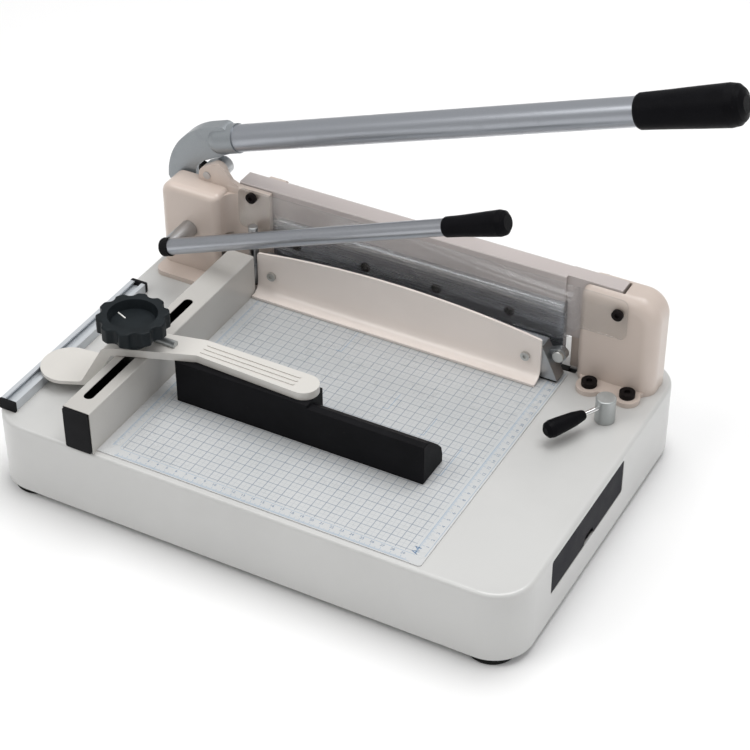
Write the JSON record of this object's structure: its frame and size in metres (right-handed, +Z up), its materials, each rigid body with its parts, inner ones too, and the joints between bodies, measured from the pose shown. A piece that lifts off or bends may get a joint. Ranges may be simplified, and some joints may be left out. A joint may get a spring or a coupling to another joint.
{
  "type": "guillotine paper cutter",
  "caption": "Desktop stack guillotine: lever-driven slanting knife over a ruled table, lever-operated paper clamp, sliding back stop with knob, side rail, clear guards and tool drawer.",
  "frame": {"origin": "on the desk, under the centre of the overall length and depth", "axes": "+X to the right along the knife, +Y to the back away from the user, +Z up"},
  "size_m": [0.5928, 0.3752, 0.4204],
  "materials": {
    "housing_enamel": "cream-white stoved enamel, slightly orange-peeled",
    "stand_enamel": "cream-white enamel over a fine cast skin",
    "bed_steel": "milled steel, dull",
    "zinc_steel": "zinc-plated steel",
    "bright_steel": "turned bright steel",
    "rubber_black": "black rubber",
    "ruled_white": "white plate printed with a pale blue grid and scales",
    "stick_plastic": "dark nylon, scored by the blade",
    "plug_black": "black moulded plastic",
    "track_aluminium": "drawn aluminium",
    "bolt_black": "black oxide",
    "guard_clear": "clear acrylic",
    "hub_silver": "silver-grey paint on a casting",
    "tube_silver": "silver paint on steel tube",
    "grip_black": "black pebbled grip",
    "beam_enamel": "cream-white enamel",
    "blade_steel": "dark ground tool steel",
    "strip_bright": "bright ribbed strip",
    "lever_tube": "satin chrome tube",
    "clamp_enamel": "cream-white enamel",
    "arm_enamel": "cream-white enamel on a casting",
    "bar_black": "black moulded plastic, fine texture",
    "knob_black": "black moulded plastic",
    "post_grey": "turned, lightly bead-blasted",
    "rod_chrome": "polished chrome",
    "drawer_black": "dark moulded plastic"
  },
  "bodies": {
    "base": {"base_housing": "housing_enamel", "bed_plate": "bed_steel", "corner_posts": "zinc_steel", "bottom_plate": "zinc_steel", "rubber_feet": "rubber_black", "foot_screws": "zinc_steel", "grid_plate": "ruled_white", "cutting_stick": "stick_plastic", "side_rail": "housing_enamel", "side_rail_plug": "plug_black", "track": "track_aluminium", "track_end_caps": "plug_black", "left_stand": "stand_enamel", "right_stand": "stand_enamel", "stand_bolts": "bolt_black", "beam_guide_pins": "bright_steel", "handle_stop": "bright_steel", "stop_bumper": "rubber_black", "handle_shaft": "bright_steel", "hub_washer": "zinc_steel", "hub_nut": "zinc_steel", "clamp_guide_rod": "bright_steel", "safety_guard": "guard_clear", "guard_screws": "bolt_black", "rear_guard": "guard_clear", "rear_guard_screws": "bolt_black", "lock_stud": "bright_steel", "drawer_guides": "zinc_steel"},
    "cutting_handle": {"handle_hub": "hub_silver", "crank_pin": "bright_steel", "handle_tube": "tube_silver", "handle_grip": "grip_black"},
    "knife": {"knife_beam": "beam_enamel", "blade": "blade_steel", "blade_bolts": "bolt_black", "blade_strip": "strip_bright"},
    "press_lever": {"press_shaft": "bright_steel", "press_crank": "bed_steel", "press_lever_tube": "lever_tube", "press_lever_plug": "plug_black", "press_lever_grip": "grip_black"},
    "paper_clamp": {"clamp_bar": "clamp_enamel", "clamp_plate": "clamp_enamel", "clamp_screws": "zinc_steel", "clamp_pad": "rubber_black", "clamp_end_pin": "zinc_steel"},
    "back_stop": {"backstop_arm": "arm_enamel", "backstop_bar": "bar_black", "backstop_screws": "zinc_steel", "backstop_pin": "post_grey", "track_slider": "zinc_steel", "slider_screw": "zinc_steel", "rail_nut": "zinc_steel"},
    "clamping_knob": {"knob": "knob_black", "knob_stud": "bright_steel", "knob_washer": "zinc_steel"},
    "lock_lever": {"lock_post": "post_grey", "lock_rod": "rod_chrome", "lock_grip": "grip_black"},
    "drawer": {"tool_drawer": "drawer_black"}
  },
  "joints": [
    {"name": "handle_swing", "type": "hinge", "parent": "base", "child": "cutting_handle", "pos_m": [-0.2524, 0.1356, 0.1355], "axis": [0, -1, 0], "range_deg": [0, 55]},
    {"name": "knife_slide", "type": "slide", "parent": "base", "child": "knife", "axis": [-0.342, 0, 0.9397], "range_m": [0, 0.04637]},
    {"name": "press_swing", "type": "hinge", "parent": "base", "child": "press_lever", "pos_m": [-0.2524, 0.0676, 0.1355], "axis": [0, -1, 0], "range_deg": [0, 80]},
    {"name": "clamp_slide", "type": "slide", "parent": "base", "child": "paper_clamp", "axis": [0, 0, 1], "range_m": [0, 0.02977]},
    {"name": "backstop_slide", "type": "slide", "parent": "base", "child": "back_stop", "axis": [0, 1, 0], "range_m": [-0.058, 0.085]},
    {"name": "knob_turn", "type": "hinge", "parent": "back_stop", "child": "clamping_knob", "pos_m": [-0.19005, -0.0862, 0.157], "axis": [0, 0, 1], "range_deg": [0, 360]},
    {"name": "lock_turn", "type": "hinge", "parent": "base", "child": "lock_lever", "pos_m": [0.2143, 0.0807, 0.094], "axis": [0, 0, 1], "range_deg": [0, 90]},
    {"name": "drawer_slide", "type": "slide", "parent": "base", "child": "drawer", "axis": [1, 0, 0], "range_m": [0, 0.075]}
  ],
  "couplings": [
    {"joint": "knife_slide", "follows": "handle_swing", "m_per_rad": 0.048102},
    {"joint": "clamp_slide", "follows": "press_swing", "m_per_rad": 0.021177}
  ]
}
